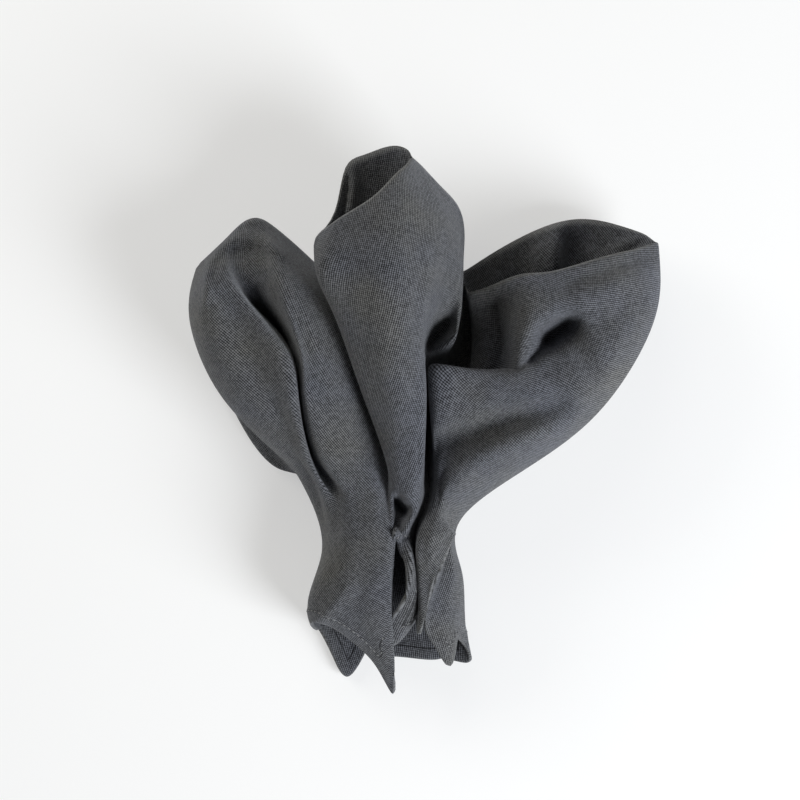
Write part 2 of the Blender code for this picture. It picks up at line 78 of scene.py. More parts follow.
# The loops above the gather, by turn, with a point on each station from the waist up to the crown.
Loop = namedtuple("Loop", "turn fold waist foot low mid high crown")
LOOPS = (
    Loop(0.0, "left keel",
         (303, 484, 28), (283, 458, 30), (229, 402, 32), (195, 338, 34), (189, 296, 34), (196, 264, 29)),
    Loop(1.0, "outer fold crest",
         (312, 486, 38), (292, 452, 44), (248, 395, 54), (217, 335, 58), (204, 291, 54), (208, 252, 37)),
    Loop(2.0, "outer fold right",
         (322, 488, 43), (302, 453, 48), (281, 395, 60), (256, 330, 61), (226, 276, 57), (224, 237, 38)),
    Loop(2.6, "outer fold edge",
         (329, 489, 44), (311, 455, 47), (300, 397, 57), (287, 344, 58), (238, 283, 53), (238, 223, 36)),
    Loop(3.1, "left groove",
         (334, 490, 43), (312, 457, 28), (293, 394, 20), (278, 330, 15), (247, 288, 45), (249, 217, 37)),
    Loop(3.6, "inner fold left",
         (341, 490, 46), (317, 456, 44), (301, 398, 47), (296, 345, 52), (267, 279, 51), (259, 216, 35)),
    Loop(4.4, "inner fold crest",
         (356, 490, 49), (334, 450, 53), (313, 395, 62), (304, 345, 65), (281, 275, 59), (273, 223, 33)),
    Loop(5.2, "inner fold right",
         (376, 490, 50), (366, 444, 48), (351, 395, 55), (334, 342, 61), (314, 290, 55), (296, 243, 31)),
    Loop(6.0, "left valley",
         (387, 490, 44), (388, 444, 38), (380, 395, 38), (366, 344, 45), (342, 298, 44), (321, 264, 30)),
    Loop(6.6, "centre left underside",
         (391, 490, 47), (384, 442, 46), (365, 386, 53), (342, 321, 58), (324, 283, 60), (317, 246, 51)),
    Loop(7.0, "centre left edge",
         (393, 490, 50), (380, 438, 50), (359, 380, 59), (336, 315, 65), (319, 277, 69), (314, 239, 61)),
    Loop(7.5, "centre rim",
         (396, 490, 52), (383, 437, 54), (362, 376, 64), (340, 310, 71), (325, 268, 75), (326, 230, 65)),
    Loop(8.0, "centre left third",
         (399, 490, 53), (391, 438, 58), (373, 375, 69), (356, 310, 76), (343, 260, 76), (341, 219, 68)),
    Loop(9.0, "centre middle",
         (406, 490, 55), (403, 440, 60), (392, 375, 75), (385, 305, 83), (378, 243, 80), (374, 198, 71)),
    Loop(10.0, "centre right",
         (413, 490, 55), (414, 442, 60), (410, 375, 73), (409, 305, 80), (407, 235, 76), (398, 173, 63)),
    Loop(10.5, "centre mouth end",
         (415.5, 490, 54), (418.5, 443.5, 59), (417, 380, 70),
         (415.5, 315, 76), (419.5, 238, 72), (405.5, 166, 57)),
    Loop(11.0, "centre crease",
         (418, 490, 52), (423, 445, 58), (424, 385, 66), (422, 325, 71), (432, 240, 67), (414, 158, 48)),
    Loop(12.0, "flank",
         (421, 491, 45), (424, 430, 42), (425, 361, 44), (433, 330, 46), (450, 255, 56), (438, 182, 45)),
    Loop(13.0, "flank lip",
         (423, 491, 38), (425, 425, 29), (438, 362, 30), (454, 335, 42), (462, 275, 44), (459, 206, 40)),
    Loop(14.0, "flank underside",
         (426, 492, 33), (427, 420, 20), (446, 366, 19), (455, 335, 25), (460, 297, 34), (464, 240, 36)),
    Loop(15.0, "right valley",
         (430, 493, 33), (431, 415, 20), (458, 378, 17), (468, 350, 12), (466, 318, 19), (462, 278, 29)),
    Loop(15.6, "under flap",
         (432, 494, 38), (432, 420, 34), (440, 374, 34), (464, 385, 20), (474, 342, 15), (467, 286, 31)),
    Loop(16.2, "flap edge",
         (434, 494, 44), (433, 430, 50), (430, 364, 58), (456, 386, 35), (474, 345, 25), (468, 290, 39)),
    Loop(17.0, "flap middle",
         (439, 495, 46), (448, 436, 54), (464, 368, 60), (474, 386, 37), (494, 345, 35), (487, 285, 45)),
    Loop(18.0, "flap tip",
         (444, 497, 46), (467, 444, 54), (505, 373, 59), (506, 372, 43), (508, 342, 44), (515, 274, 54)),
    Loop(18.4, "ridge side",
         (446, 498, 45), (475, 446, 54), (514, 377, 60), (514, 368, 56), (517, 333, 57), (526, 272, 55)),
    Loop(19.0, "ridge",
         (449, 501, 43), (487, 449, 54), (532, 387, 60), (533, 350, 56), (541, 315, 60), (545, 271, 54)),
    Loop(20.0, "right middle",
         (452, 506, 39), (507, 454, 51), (560, 392, 60), (572, 345, 55), (582, 300, 59), (584, 261, 51)),
    Loop(21.0, "right body",
         (456, 512, 32), (520, 461, 42), (586, 398, 51), (614, 345, 54), (628, 292, 52), (626, 250, 42)),
    Loop(22.0, "right keel",
         (460, 520, 20), (520, 471, 26), (588, 421, 28), (634, 362, 30), (659, 300, 30), (660, 240, 27)),
    Loop(23.5, "right back outer",
         (450, 520, 8), (510, 466, 6), (570, 412, 4), (608, 350, 5), (630, 290, 10), (622, 220, 16)),
    Loop(25.0, "right back",
         (440, 515, 4), (480, 450, 1), (524, 390, 0), (548, 330, 1), (562, 275, 7), (564, 216, 16)),
    Loop(26.7, "right back inner",
         (430, 510, 3), (452, 440, 0), (476, 390, 0), (486, 340, 2), (492, 295, 8), (492, 250, 19)),
    Loop(28.5, "right valley back",
         (420, 508, 2), (430, 440, 0), (440, 385, 0), (450, 348, 0), (458, 322, 0), (461, 268, 27)),
    Loop(30.0, "centre back underside",
         (412, 507, 2), (421, 440, 0), (431, 377, 0), (443, 330, 1), (456, 287, 9), (464, 240, 35)),
    Loop(31.0, "centre back right",
         (405, 506, 2), (412, 440, 0), (420, 370, 0), (435, 310, 4), (452, 255, 16), (459, 206, 36)),
    Loop(32.0, "centre back shoulder",
         (400, 505, 2), (406, 440, 0), (412, 366, 0), (424, 300, 4), (434, 238, 17), (438, 182, 41)),
    Loop(33.0, "centre back tip",
         (395, 504, 2), (400, 440, 0), (406, 363, 0), (412, 295, 4), (416, 224, 18), (414, 158, 44)),
    Loop(33.5, "centre back tip side",
         (393, 504, 2), (397.5, 440, 0), (403, 361.5, 0),
         (406, 292.5, 4), (407, 219.5, 18), (408.5, 148, 43)),
    Loop(34.0, "centre back",
         (390, 504, 2), (395, 440, 0), (400, 360, 0), (400, 290, 4), (398, 215, 18), (397, 143, 41)),
    Loop(35.2, "centre back slope",
         (380, 502, 2), (380, 440, 0), (380, 365, 0), (376, 290, 4), (368, 215, 20), (362, 153, 42)),
    Loop(35.8, "centre back corner",
         (375, 501, 2), (374, 440, 0), (371, 367, 0), (364, 295, 4), (354, 222, 22), (345, 167, 43)),
    Loop(36.4, "centre back edge",
         (370, 500, 2), (366, 440, 0), (360, 372, 0), (350, 303, 4), (341, 240, 27), (335, 211, 45)),
    Loop(37.0, "centre back left",
         (364, 499, 2), (360, 442, 0), (352, 380, 0), (346, 318, 3), (341, 264, 24), (318, 241, 55)),
    Loop(38.0, "left valley back",
         (355, 496, 2), (350, 445, 0), (342, 390, 0), (334, 340, 1), (330, 300, 6), (321, 264, 28)),
    Loop(39.7, "left back inner",
         (335, 492, 3), (320, 450, 0), (300, 390, 0), (284, 330, 2), (278, 275, 8), (272, 223, 22)),
    Loop(42.0, "left back outer",
         (318, 488, 5), (288, 460, 3), (256, 404, 2), (230, 335, 2), (214, 285, 8), (224, 237, 22)),
    Loop(43.0, "rear layer edge",
         (308, 484, 12), (273, 466, 8), (234, 411, 10), (206, 350, 14), (191, 300, 20), (196, 264, 25)),
    Loop(43.5, "rear layer fold",
         (304, 484, 20), (286, 463, 14), (246, 406, 18), (207, 345, 24), (191, 297, 28), (196, 264, 27)),
)

# The trailing corners below the gather, from the waist down to the hem.
Tail = namedtuple("Tail", "turn fold upper lower hem")
TAILS = (
    Tail(0.0, "left keel", (322, 540, 22), (312, 598, 17), (316, 632, 12)),
    Tail(2.2, "front panel left edge", (331, 537, 36), (313, 592, 33), (313, 622, 27)),
    Tail(3.6, "front panel crease", (347, 537, 46), (336, 595, 42), (334, 627, 32)),
    Tail(4.8, "front panel", (366, 540, 50), (362, 605, 43), (364, 651, 29)),
    Tail(5.5, "front corner side", (377, 541, 51), (375, 613, 43), (382, 675, 25)),
    Tail(6.0, "front corner", (386, 542, 51), (387, 620, 41), (394, 696, 22)),
    Tail(6.6, "front panel right edge", (391, 541, 49), (391, 598, 43), (392, 646, 34)),
    Tail(7.3, "eye left", (393, 522, 45), (393, 535, 47), (393, 548, 46)),
    Tail(8.2, "eye top", (400, 522, 44), (400, 535, 47), (400, 548, 46)),
    Tail(9.0, "eye shoulder", (406, 530, 46), (407, 543, 48), (405, 558, 48)),
    Tail(9.6, "curled hem top", (408, 533, 45), (411, 553, 49), (407, 578, 48.5)),
    Tail(10.2, "curled hem", (409, 536, 44), (413, 566, 48), (402, 603, 46)),
    Tail(10.8, "curled hem inner corner", (410, 538, 42), (414.5, 576, 46), (389, 622, 38)),
    Tail(11.4, "curled hem outer corner", (411, 540, 40), (416, 584, 44), (390, 645, 33)),
    Tail(12.1, "curled hem outside", (412, 540, 37), (416.8, 592, 40), (407, 630, 33)),
    Tail(12.8, "curled hem back", (413, 537, 35), (417, 592, 34), (413, 622, 29)),
    Tail(13.6, "right layer fold", (415, 535, 35), (417.4, 591, 30), (416, 620, 28)),
    Tail(14.6, "right layer side", (417, 535, 43), (419, 590, 37), (418, 623, 35)),
    Tail(15.8, "right layer left edge", (419, 535, 51), (421, 590, 45), (421, 629, 41)),
    Tail(16.5, "right layer corner side", (424, 533, 52), (426, 573, 48), (428, 602, 44)),
    Tail(17.4, "right layer free edge", (433, 530, 53), (435, 552, 51), (436, 571, 49)),
    Tail(18.8, "right notch", (448, 524, 44), (450, 531, 43), (453, 537, 42)),
    Tail(20.0, "inner panel left", (446, 545, 34), (436, 590, 32), (424, 624, 32)),
    Tail(20.5, "inner corner side", (449, 552, 33), (441, 600, 31), (435, 647, 28)),
    Tail(21.0, "inner corner", (453, 560, 32), (450, 612, 28), (450, 668, 24)),
    Tail(21.5, "inner panel right", (457, 563, 27), (459, 605, 24), (456, 645, 19)),
    Tail(22.0, "right keel", (460, 565, 22), (463, 598, 20), (459, 641, 15)),
    Tail(22.8, "rear corner side", (459, 565, 15), (465, 608, 12), (466, 650, 10)),
    Tail(23.5, "rear corner", (457, 565, 10), (463, 620, 8), (472, 665, 7)),
    Tail(24.3, "rear corner hem", (450, 565, 6), (455, 617, 5), (456, 665, 4)),
    Tail(26.0, "rear right", (440, 565, 4), (440, 615, 3), (438, 664, 3)),
    Tail(29.0, "rear middle", (420, 565, 3), (415, 615, 2), (414, 663, 3)),
    Tail(32.0, "rear left", (400, 560, 3), (395, 615, 2), (391, 661, 3)),
    Tail(33.2, "rear left end", (392, 558, 3), (385, 610, 2), (382, 658, 3)),
    Tail(35.0, "rear notch", (380, 555, 3), (372, 600, 2), (373, 640, 4)),
    Tail(36.6, "left corner side", (367, 552, 3), (359, 606, 2), (364, 658, 3)),
    Tail(38.0, "left corner", (355, 550, 4), (348, 612, 3), (346, 682, 3)),
    Tail(39.4, "left corner hem", (344, 548, 6), (334, 607, 4), (331, 660, 4)),
    Tail(41.0, "left corner edge", (333, 545, 8), (320, 600, 6), (320, 636, 6)),
)

# Soft ridges (height above 0) and troughs (below 0) across the front, each over a range of turns. Each
# comes in over the run-in, in turns, at both ends of its range.
CREASE_RUN_IN = 0.5
Crease = namedtuple("Crease", "name first last path width height")
CREASES = (
    Crease("left rim", 0.4, 6.0,
           ((209, 300), (210, 262), (218, 246), (234, 238), (250, 237), (266, 241), (284, 254)), 3, 3.5),
    Crease("left brow", 0.4, 6.0, ((214, 278), (222, 258), (238, 250), (252, 249), (268, 256)), 4, -2.5),
    Crease("outer fold dart", 0.5, 2.6, ((276, 398), (298, 432)), 5, -2.5),
    Crease("pocket", 2.3, 3.9, ((254, 300), (267, 315), (282, 338)), 6, -9.0),
    Crease("inner fold dart", 3.8, 5.6, ((318, 300), (338, 352), (362, 420)), 7, -2.0),
    Crease("lip upper", 11.6, 14.2, ((463, 304), (456, 334)), 4, 5.0),
    Crease("lip lower", 11.2, 14.0, ((454, 338), (425, 357)), 4, 9.0),
    Crease("flank hollow", 11.1, 13.6, ((424, 340), (446, 322)), 8, -12.0),
    Crease("lower panel trough", 16.0, 21.5,
           ((436, 440), (470, 431), (500, 420), (530, 411), (556, 403)), 10, -7.5),
    Crease("keel ridge", 17.0, 22.0,
           ((450, 484), (472, 460), (500, 446), (530, 435), (562, 424)), 9, 3.5),
    Crease("flap trough", 16.4, 18.7, ((497, 305), (503, 332), (508, 360)), 4, -4.0),
    Crease("dimple", 18.2, 21.0, ((550, 335), (566, 324)), 8, -21.0),
    Crease("dimple foot", 17.8, 20.5, ((530, 358), (547, 340)), 3.5, -6.0),
    Crease("body trough", 19.5, 21.9, ((576, 340), (592, 372)), 8, -4.0),
    Crease("body hollow", 19.8, 21.9, ((604, 318), (628, 300)), 12, -4.0),
    Crease("crown trough", 18.5, 21.9, ((566, 284), (640, 258)), 6, -2.5),
    Crease("curl hollow", 6.6, 12.5, ((396, 500), (404, 508)), 4.5, -16.0),
    Crease("curl", 7.0, 15.0, ((425, 488), (416, 511), (404, 528), (395, 531)), 3, 5.0),
    Crease("front panel bend", 1.0, 8.0, ((318, 622), (348, 586)), 5, 2.0),
)

# The same on the back walls of the mouths, by the turn of the front rim across from them.
MOUTH_CREASES = (
    Crease("centre slit", 7.1, 9.0, ((350, 164), (347, 174), (349, 192), (343, 216)), 2, -5.0),
    Crease("centre inner fold", 7.1, 9.6, ((353, 166), (352, 192), (347, 214)), 3, 5.0),
    Crease("right inner fold", 16.5, 21.0, ((547, 226), (545, 272)), 9, 8.0),
    Crease("right inner fold edge", 17.5, 21.0, ((558, 226), (558, 270)), 4, 9.0),
    Crease("right inner hollow", 17.5, 21.8, ((582, 228), (580, 270)), 11, -3.0),
    Crease("right inner crease", 19.5, 21.9, ((642, 233), (616, 248)), 3, 3.0),
)
# They fade out over this share of a wall's height, at its rim and at its floor.
WALL_RUN_IN = 0.25

# Pleats at the gather: how deep they are, by turn round the ring.
Pleat = namedtuple("Pleat", "turn depth")
PLEATS = (
    Pleat(0.0, 2.0),
    Pleat(4.0, 2.5),
    Pleat(6.0, 0.0),
    Pleat(24.5, 0.0),
    Pleat(27.0, 9.0),
    Pleat(38.5, 9.0),
    Pleat(40.5, 2.0),
    Pleat(44.0, 2.0),
)
PLEAT_COUNT = 22
# The station where the pleats are deepest, and how many stations they reach to each side of it.
PLEAT_STATION = 3.1
PLEAT_REACH = 0.75

# How far each mouth is open (0 shut, 1 open) and where its floor lies, by turn along the front.
Mouth = namedtuple("Mouth", "turn open floor")
MOUTHS = (
    Mouth(0.0, 0.0, (200, 268, 26)),
    Mouth(6.0, 0.0, (321, 266, 28)),
    Mouth(7.0, 0.0, (318, 242, 54)),
    Mouth(7.6, 0.84, (338, 256, 44)),
    Mouth(8.3, 1.0, (358, 276, 38)),
    Mouth(9.0, 1.0, (378, 272, 35)),
    Mouth(10.0, 0.9, (403, 230, 38)),
    Mouth(10.6, 0.8, (410, 185, 42)),
    Mouth(11.0, 0.0, (414, 162, 45)),
    Mouth(12.0, 0.0, (438, 186, 43)),
    Mouth(14.5, 0.0, (463, 262, 33)),
    Mouth(15.1, 0.6, (464, 280, 28)),
    Mouth(15.7, 1.0, (470, 298, 24)),
    Mouth(16.4, 1.0, (486, 320, 20)),
    Mouth(17.2, 1.0, (504, 338, 18)),
    Mouth(18.5, 1.0, (534, 345, 13)),
    Mouth(20.0, 1.0, (588, 310, 15)),
    Mouth(21.2, 0.8, (630, 265, 24)),
    Mouth(22.0, 0.0, (658, 248, 26)),
)
# A mouth less open than this is shut.
OPEN_LEAST = 0.04
# Its rims are fully apart where it is open by 1 / SHUT_RATE.
SHUT_RATE = 4.0

# Stations count along a rib from the hem: hem 0, lower 1, upper 2, waist 3, and so on to the crown at 8.
GATHER = 3

# The weave is laid out on one piece of the cloth at a time, between two folds and above or below the
# gather. Its threads run at an angle, in degrees from +X towards +Y, at one place on the piece. On a
# mouth's wall the station is the share of its height.
Cut = namedtuple("Cut", "name first last turn station angle")
LOOP_CUTS = (
    Cut("left outer fold", 43.0, 47.125, 46.0, 5.4, 43.0),
    Cut("left inner fold", 3.125, 6.125, 4.5, 5.4, 35.0),
    Cut("centre", 6.125, 14.5, 9.5, 6.5, -15.0),
    Cut("right", 14.5, 23.5, 18.0, 4.6, 43.0),
    Cut("back", 23.5, 43.0, 33.0, 5.5, 10.0),
)
TAIL_CUTS = (
    Cut("front tail", 43.0, 51.0, 48.0, 1.5, 54.0),
    Cut("curled tail", 7.0, 15.5, 11.0, 1.5, 60.0),
    Cut("right tail", 15.5, 23.5, 20.5, 1.5, -18.0),
    Cut("rear tail", 23.5, 43.0, 33.0, 1.5, 5.0),
)
MOUTH_CUTS = (
    Cut("centre mouth", 7.25, 10.75, 9.0, 0.5, 10.0),
    Cut("right mouth", 15.25, 21.5, 19.0, 0.5, 40.0),
)
THREAD_PITCH = 0.93
UNFOLD_ROUNDS = 12

# The hem's inner edge rises over a short step. Its seam runs this far in from the sheet's edge.
HEM_STEP = 1.6
SEAM = 6.0
STITCH_PITCH = 2.7
STITCH_LENGTH = 1.7
STITCH_WIDTH = 0.5
STITCH_ROUNDNESS = 2
# Between these turns the edge is drawn in close to the front panel, and it has no hem.
BARE_FIRST = 6.7
BARE_LAST = 7.9
# Turns between which the hem's edge rolls under, so that its seam doesn't show.
ROLLED = ((5.8, 6.8), (14.5, 20.7))
# A point's distance from the edge is measured to the edge's points within this many turns of it.
EDGE_REACH = 2.5
# A seam ends where its next point is further away than this.
SEAM_GAP = 12.0
FAR_FROM_HEM = 100.0
# A mouth's rim gets a painted highlight, fully so where its wall is this deep or deeper.
RIM_DEPTH = 8.0
# The hem's outer face is looked for within this distance of the seam's points.
FACE_ABOVE = 2.2


def spline_weights(knots, places):
    """Weights that turn values at the knots into a natural cubic spline at the places."""
    count = len(knots)
    gaps = np.diff(knots)
    left = np.zeros((count, count))
    right = np.zeros((count, count))
    left[0, 0] = 1.0
    left[-1, -1] = 1.0
    for k in range(1, count - 1):
        left[k, k - 1:k + 2] = gaps[k - 1], 2.0 * (gaps[k - 1] + gaps[k]), gaps[k]
        right[k, k - 1:k + 2] = 6.0 / gaps[k - 1], -6.0 / gaps[k - 1] - 6.0 / gaps[k], 6.0 / gaps[k]
    bends = np.linalg.solve(left, right)

    spans = np.clip(np.searchsorted(knots, places, side="right") - 1, 0, count - 2)
    gap = gaps[spans][:, None]
    after = (places - knots[spans])[:, None] / gap
    before = 1.0 - after
    unit = np.eye(count)
    ends = before * unit[spans] + after * unit[spans + 1]
    bend = (before ** 3 - before) * bends[spans] + (after ** 3 - after) * bends[spans + 1]
    return ends + bend * gap ** 2 / 6.0


def ring_weights(knots, places):
    """The same for a closed ring: the rows are repeated on both sides of it."""
    knots = np.asarray(knots, float)
    count = len(knots)
    wide = np.concatenate([knots - RING, knots, knots + RING])
    weights = spline_weights(wide, places)
    return weights[:, :count] + weights[:, count:2 * count] + weights[:, 2 * count:]


def smooth_step(value):
    value = np.clip(value, 0.0, 1.0)
    return value * value * (3.0 - 2.0 * value)


def ring_curves(rows, stations, turns):
    """For each station of a table, its closed curve round the ring at the turns."""
    weights = ring_weights([row.turn for row in rows], turns)
    return [weights @ np.array([getattr(row, name) for row in rows], float) for name in stations]


def distance_to_path(places, path):
    """Each place's distance from the nearest line of the path."""
    corners = np.array(path, float)
    nearest = np.full(places.shape[:-1], np.inf)
    for start, end in zip(corners[:-1], corners[1:]):
        line = end - start
        offset = places - start
        share = np.clip((offset @ line) / (line @ line), 0.0, 1.0)
        away = np.linalg.norm(offset - share[..., None] * line, axis=-1)
        nearest = np.minimum(nearest, away)
    return nearest


def crease_heights(points, turns, creases):
    """How much the creases raise or lower each point."""
    total = np.zeros(points.shape[:2])
    for crease in creases:
        away = distance_to_path(points[..., :2], crease.path)
        come_in = smooth_step((turns - crease.first) / CREASE_RUN_IN)
        go_out = smooth_step((crease.last - turns) / CREASE_RUN_IN)
        total += crease.height * np.exp(-0.5 * (away / crease.width) ** 2) * (come_in * go_out)
    return total


def outward(points):
    """Unit normals of the ring, pointing out of the bundle."""
    real = to_metres(points)
    round_it = np.roll(real, -1, axis=1) - np.roll(real, 1, axis=1)
    along = np.gradient(real, axis=0)
    normals = np.cross(round_it, along)
    return normals / np.maximum(np.linalg.norm(normals, axis=-1, keepdims=True), TINY)


def pleat_shifts(points, turns, steps):
    """How far the pleats draw each point in, in the tables' units."""
    depth = np.interp(turns, [row.turn for row in PLEATS], [row.depth for row in PLEATS])
    wave = 0.5 - 0.5 * np.cos(2.0 * np.pi * PLEAT_COUNT * turns / RING)
    reach = np.exp(-(((steps - PLEAT_STATION) / PLEAT_REACH) ** 2))
    inwards = -outward(points) * (reach[:, None] * (depth * wave)[None, :])[..., None]
    return inwards / np.array((UNIT, -UNIT, 1.0))


def sheet_grid():
    """Points of the sheet's middle surface, outside and on the two mouth walls, and the walls' columns."""
    columns = int(RING) * COLUMNS_PER_TURN
    turns = np.arange(columns) * RING / columns
    tails = ring_curves(TAILS, ("hem", "lower", "upper"), turns)
    loops = ring_curves(LOOPS, ("waist", "foot", "low", "mid", "high", "crown"), turns)
    stations = np.array(tails + loops)
    knots = np.arange(len(stations), dtype=float)

    half = columns // 2
    front = np.arange(half + 1)
    back = (columns - front) % columns
    mouth_turns = np.array([row.turn for row in MOUTHS])
    openness = smooth_step(np.interp(turns[front], mouth_turns, [row.open for row in MOUTHS]))
    floor = spline_weights(mouth_turns, turns[front]) @ np.array([row.floor for row in MOUTHS], float)

    openness[openness < OPEN_LEAST] = 0.0
    middle = 0.5 * (stations[-1][front] + stations[-1][back])
    part = openness[:, None]
    stations[-1][front] = middle + part * (stations[-1][front] - middle)
    stations[-1][back] = middle + part * (stations[-1][back] - middle)

    steps = np.linspace(0.0, len(stations) - 1.0, (len(stations) - 1) * ROWS_PER_SPAN + 1)
    outside = np.einsum("sk,kcx->scx", spline_weights(knots, steps), stations)
    outside[..., 2] += crease_heights(outside, turns, CREASES)
    outside += pleat_shifts(outside, turns, steps)
    outside[..., 2] = np.maximum(outside[..., 2], -SINK)

    # The creases part the front and the back a little. They are brought together where a mouth is shut.
    middle = 0.5 * (outside[-1][front] + outside[-1][back])
    opened = smooth_step(openness * SHUT_RATE)[:, None]
    outside[-1][front] = middle + opened * (outside[-1][front] - middle)
    outside[-1][back] = middle + opened * (outside[-1][back] - middle)

    along = np.linspace(0.0, 1.0, MOUTH_ROWS + 1)[:, None, None]
    floor = middle + part * (floor - middle)
    walls = []
    for side in (front, back):
        crown = outside[-1][side]
        walls.append(crown + (floor - crown) * along)
    down = along[..., 0]
    fade = smooth_step(down / WALL_RUN_IN) * smooth_step((1.0 - down) / WALL_RUN_IN) * openness
    walls[1][..., 2] += crease_heights(walls[1], turns[front], MOUTH_CREASES) * fade
    return outside, walls, front, back


def to_metres(points):
    return points * np.array((UNIT, -UNIT, 1.0)) * MM


def hem_distances(outside):
    """Each grid point's distance from the hem's edge, in mm, and which columns show no seam."""
    real = to_metres(outside) / MM
    rows = GATHER * ROWS_PER_SPAN
    columns = np.arange(outside.shape[1])
    bare = (columns > BARE_FIRST * COLUMNS_PER_TURN) & (columns < BARE_LAST * COLUMNS_PER_TURN)
    # The bare part of the edge is put out of reach.
    edge = real[0] + np.where(bare, 10.0 * FAR_FROM_HEM, 0.0)[:, None]
    nearest = np.full(real.shape[:2], FAR_FROM_HEM)
    reach = round(EDGE_REACH * COLUMNS_PER_TURN)
    for offset in range(-reach, reach + 1):
        away = np.linalg.norm(real[:rows] - np.roll(edge, offset, axis=0), axis=-1)
        nearest[:rows] = np.minimum(nearest[:rows], away)
    unsewn = bare.copy()
    for first, last in ROLLED:
        unsewn |= (columns > first * COLUMNS_PER_TURN) & (columns < last * COLUMNS_PER_TURN)
    return nearest, unsewn


def seam_lines(outside, distances, unsewn):
    """Lines of points on the seam, in metres, each point with the cloth's outward direction."""
    real = to_metres(outside)
    normals = outward(outside)
    lines = [[]]
    for c in range(outside.shape[1] + 1):
        c = c % outside.shape[1]
        over = np.flatnonzero(distances[:, c] >= SEAM)
        if unsewn[c] or not len(over) or over[0] == 0:
            lines.append([])
            continue
        r = over[0]
        low, high = distances[r - 1, c], distances[r, c]
        share = (SEAM - low) / (high - low)
        point = real[r - 1, c] + share * (real[r, c] - real[r - 1, c])
        if lines[-1] and np.linalg.norm(point - lines[-1][-1][0]) > SEAM_GAP * MM:
            lines.append([])
        lines[-1].append((point, normals[r, c]))
    return [line for line in lines if len(line) > 2]


def add_object(name, data):
    thing = bpy.data.objects.new(name, data)
    bpy.context.scene.collection.objects.link(thing)
    return thing


def unfold(points):
    """Flat places, in metres, of a grid of points on the cloth, stretched as little as can be."""
    rows, columns = points.shape[:2]
    data = bpy.data.meshes.new("pattern")
    index = np.arange(rows * columns).reshape(rows, columns)
    quads = np.stack([index[:-1, :-1], index[:-1, 1:], index[1:, 1:], index[1:, :-1]], axis=-1)
    data.from_pydata(points.reshape(-1, 3).tolist(), [], quads.reshape(-1, 4).tolist())
    data.uv_layers.new(name="flat")
    pattern = add_object("pattern", data)
    for other in bpy.context.selected_objects:
        other.select_set(False)
    bpy.context.view_layer.objects.active = pattern
    pattern.select_set(True)
    bpy.ops.object.mode_set(mode="EDIT")
    bpy.ops.mesh.select_all(action="SELECT")
    bpy.ops.uv.unwrap(method="MINIMUM_STRETCH", iterations=UNFOLD_ROUNDS, margin=0.0)
    bpy.ops.object.mode_set(mode="OBJECT")
    corner_places = np.empty(len(data.loops) * 2)
    data.uv_layers["flat"].data.foreach_get("uv", corner_places)
    corner_points = np.empty(len(data.loops), dtype=np.int32)
    data.loops.foreach_get("vertex_index", corner_points)
    flat = np.zeros((rows * columns, 2))
    flat[corner_points] = corner_places.reshape(-1, 2)
    bpy.data.objects.remove(pattern)
    bpy.data.meshes.remove(data)
    flat = flat.reshape(rows, columns, 2)
    return flat * math.sqrt(grid_area(points) / grid_area(flat))


def grid_area(points):
    """The area of a grid of points, in plan or in space, taking each quad as a parallelogram."""
    down = points[1:, :-1] - points[:-1, :-1]
    across = points[:-1, 1:] - points[:-1, :-1]
    if points.shape[-1] == 2:
        return np.abs(down[..., 0] * across[..., 1] - down[..., 1] * across[..., 0]).sum()
    return np.linalg.norm(np.cross(down, across), axis=-1).sum()


def turned(flat, points, row, column, angle):
    """The flat places turned, so that the threads at one grid place run at the angle in plan."""
    row = int(np.clip(row, 1, len(points) - 2))
    column = int(np.clip(column, 1, points.shape[1] - 2))
    plan = np.stack([points[row + 1, column] - points[row - 1, column],
                     points[row, column + 1] - points[row, column - 1]])[:, :2]
    cloth = np.stack([flat[row + 1, column] - flat[row - 1, column],
                      flat[row, column + 1] - flat[row, column - 1]])
    wanted = np.array([math.cos(math.radians(angle)), math.sin(math.radians(angle))])
    shares = np.linalg.solve(plan.T, wanted)
    way = shares @ cloth
    turn = -math.atan2(way[1], way[0])
    spin = np.array([[math.cos(turn), -math.sin(turn)], [math.sin(turn), math.cos(turn)]])
    return flat @ spin.T


def unfold_coarsely(points):
    """Unfolds every second row and column, and fills in the places between them."""
    rows, columns = points.shape[:2]
    kept_rows = np.unique(np.append(np.arange(0, rows, 2), rows - 1))
    kept_columns = np.unique(np.append(np.arange(0, columns, 2), columns - 1))
    flat = unfold(points[np.ix_(kept_rows, kept_columns)])
    for axis, (count, kept) in enumerate(((rows, kept_rows), (columns, kept_columns))):
        flat = np.apply_along_axis(lambda line: np.interp(np.arange(count), kept, line), axis, flat)
    return flat


def corner_places(flat):
    """The places of the four corners of each quad of a grid."""
    return np.stack([flat[:-1, :-1], flat[:-1, 1:], flat[1:, 1:], flat[1:, :-1]], axis=2)


